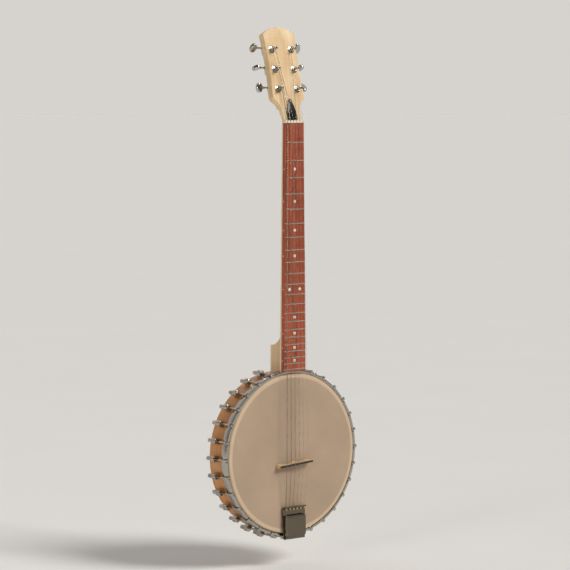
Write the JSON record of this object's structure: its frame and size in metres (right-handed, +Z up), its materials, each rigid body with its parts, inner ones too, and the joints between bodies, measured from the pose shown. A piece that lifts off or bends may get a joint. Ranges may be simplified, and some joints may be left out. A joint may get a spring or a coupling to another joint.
{
  "type": "banjo",
  "caption": "Open-back banjo with a guitar neck, tilted maple headstock, geared tuning machines, frosted head on a maple rim with notched hoop and hooks, and a clamshell tailpiece.",
  "frame": {"origin": "hanger seat: where a hanger's yoke holds the neck, under the shoulders of the headstock, in the middle of its thickness", "axes": "+Z up the neck towards the headstock, -Y out of the playing side, +X to the treble side"},
  "size_m": [0.3352, 0.0777, 0.977],
  "materials": {
    "neck_maple": "clear satin lacquer over pale maple",
    "rosewood": "oiled, open grained",
    "fret_wire": "polished nickel silver",
    "pearl": "pearly",
    "bone": "polished bone",
    "rod_steel": "plain steel",
    "black_plastic": "gloss black",
    "small_screws": "plated",
    "rim_maple": "gloss amber lacquer over laminated maple",
    "tone_ring_brass": "plain rolled brass",
    "drumhead": "frosted film, rough on the playing side",
    "hoop_chrome": "polished plate",
    "hook_chrome": "polished plate",
    "bridge_maple": "bare close-grained maple",
    "bridge_ebony": "dark cap",
    "tail_chrome": "polished plate",
    "wound_string": "nickel-wound",
    "plain_string": "plain steel",
    "ball_brass": "plain brass",
    "tuner_chrome": "polished plate"
  },
  "bodies": {
    "root": {"neck": "neck_maple", "fretboard": "rosewood", "frets": "fret_wire", "fret_markers": "pearl", "side_dots": "pearl", "nut": "bone", "truss_rod": "rod_steel", "truss_rod_nut": "rod_steel", "coordinator_rods": "rod_steel", "heel_bolts": "rod_steel", "truss_rod_cover": "black_plastic", "truss_cover_screws": "small_screws", "tuner_screws": "small_screws", "rim": "rim_maple", "tone_ring": "tone_ring_brass", "head": "drumhead", "tension_hoop": "hoop_chrome", "flesh_hoop": "hoop_chrome", "bracket_hooks": "hook_chrome", "bracket_shoes": "hook_chrome", "hook_nuts": "hook_chrome", "shoe_bolts": "hook_chrome", "rod_nuts": "hook_chrome", "tail_bolts": "hook_chrome", "tail_spacer": "hook_chrome", "bridge": "bridge_maple", "bridge_cap": "bridge_ebony", "tailpiece_base": "tail_chrome", "hinge_pin": "tail_chrome", "string_1": "wound_string", "string_2": "wound_string", "string_3": "wound_string", "string_4": "plain_string", "string_5": "plain_string", "string_6": "plain_string", "ball_ends": "ball_brass", "tuner_housings": "tuner_chrome", "tuner_covers": "tuner_chrome", "tuner_washers": "tuner_chrome", "tuner_bushings": "tuner_chrome"},
    "knob_body_1": {"knob_1": "tuner_chrome", "worm_shaft_1": "tuner_chrome"},
    "post_body_1": {"post_1": "tuner_chrome"},
    "knob_body_2": {"knob_2": "tuner_chrome", "worm_shaft_2": "tuner_chrome"},
    "post_body_2": {"post_2": "tuner_chrome"},
    "knob_body_3": {"knob_3": "tuner_chrome", "worm_shaft_3": "tuner_chrome"},
    "post_body_3": {"post_3": "tuner_chrome"},
    "knob_body_4": {"knob_4": "tuner_chrome", "worm_shaft_4": "tuner_chrome"},
    "post_body_4": {"post_4": "tuner_chrome"},
    "knob_body_5": {"knob_5": "tuner_chrome", "worm_shaft_5": "tuner_chrome"},
    "post_body_5": {"post_5": "tuner_chrome"},
    "knob_body_6": {"knob_6": "tuner_chrome", "worm_shaft_6": "tuner_chrome"},
    "post_body_6": {"post_6": "tuner_chrome"},
    "tail_cover_body": {"tailpiece_cover": "tail_chrome"}
  },
  "joints": [
    {"name": "knob_turn_1", "type": "hinge", "parent": "root", "child": "knob_body_1", "pos_m": [-0.023, 0.01868, 0.03069], "axis": [-1, 0, 0], "continuous": true},
    {"name": "post_turn_1", "type": "hinge", "parent": "root", "child": "post_body_1", "pos_m": [-0.023, -0.00026, 0.02789], "axis": [0, -0.9703, 0.2419], "continuous": true},
    {"name": "knob_turn_2", "type": "hinge", "parent": "root", "child": "knob_body_2", "pos_m": [-0.023, 0.02799, 0.06805], "axis": [-1, 0, 0], "continuous": true},
    {"name": "post_turn_2", "type": "hinge", "parent": "root", "child": "post_body_2", "pos_m": [-0.023, 0.00905, 0.06525], "axis": [0, -0.9703, 0.2419], "continuous": true},
    {"name": "knob_turn_3", "type": "hinge", "parent": "root", "child": "knob_body_3", "pos_m": [-0.023, 0.03731, 0.1054], "axis": [-1, 0, 0], "continuous": true},
    {"name": "post_turn_3", "type": "hinge", "parent": "root", "child": "post_body_3", "pos_m": [-0.023, 0.01837, 0.1026], "axis": [0, -0.9703, 0.2419], "continuous": true},
    {"name": "knob_turn_4", "type": "hinge", "parent": "root", "child": "knob_body_4", "pos_m": [0.023, 0.01868, 0.03069], "axis": [1, 0, 0], "continuous": true},
    {"name": "post_turn_4", "type": "hinge", "parent": "root", "child": "post_body_4", "pos_m": [0.023, -0.00026, 0.02789], "axis": [0, -0.9703, 0.2419], "continuous": true},
    {"name": "knob_turn_5", "type": "hinge", "parent": "root", "child": "knob_body_5", "pos_m": [0.023, 0.02799, 0.06805], "axis": [1, 0, 0], "continuous": true},
    {"name": "post_turn_5", "type": "hinge", "parent": "root", "child": "post_body_5", "pos_m": [0.023, 0.00905, 0.06525], "axis": [0, -0.9703, 0.2419], "continuous": true},
    {"name": "knob_turn_6", "type": "hinge", "parent": "root", "child": "knob_body_6", "pos_m": [0.023, 0.03731, 0.1054], "axis": [1, 0, 0], "continuous": true},
    {"name": "post_turn_6", "type": "hinge", "parent": "root", "child": "post_body_6", "pos_m": [0.023, 0.01837, 0.1026], "axis": [0, -0.9703, 0.2419], "continuous": true},
    {"name": "tail_cover_hinge", "type": "hinge", "parent": "root", "child": "tail_cover_body", "pos_m": [0, -0.02328, -0.82407], "axis": [1, 0, 0], "range_deg": [0, 105]}
  ],
  "couplings": [
    {"joint": "post_turn_1", "follows": "knob_turn_1", "ratio": 0.071429},
    {"joint": "post_turn_2", "follows": "knob_turn_2", "ratio": 0.071429},
    {"joint": "post_turn_3", "follows": "knob_turn_3", "ratio": 0.071429},
    {"joint": "post_turn_4", "follows": "knob_turn_4", "ratio": -0.071429},
    {"joint": "post_turn_5", "follows": "knob_turn_5", "ratio": -0.071429},
    {"joint": "post_turn_6", "follows": "knob_turn_6", "ratio": -0.071429}
  ]
}
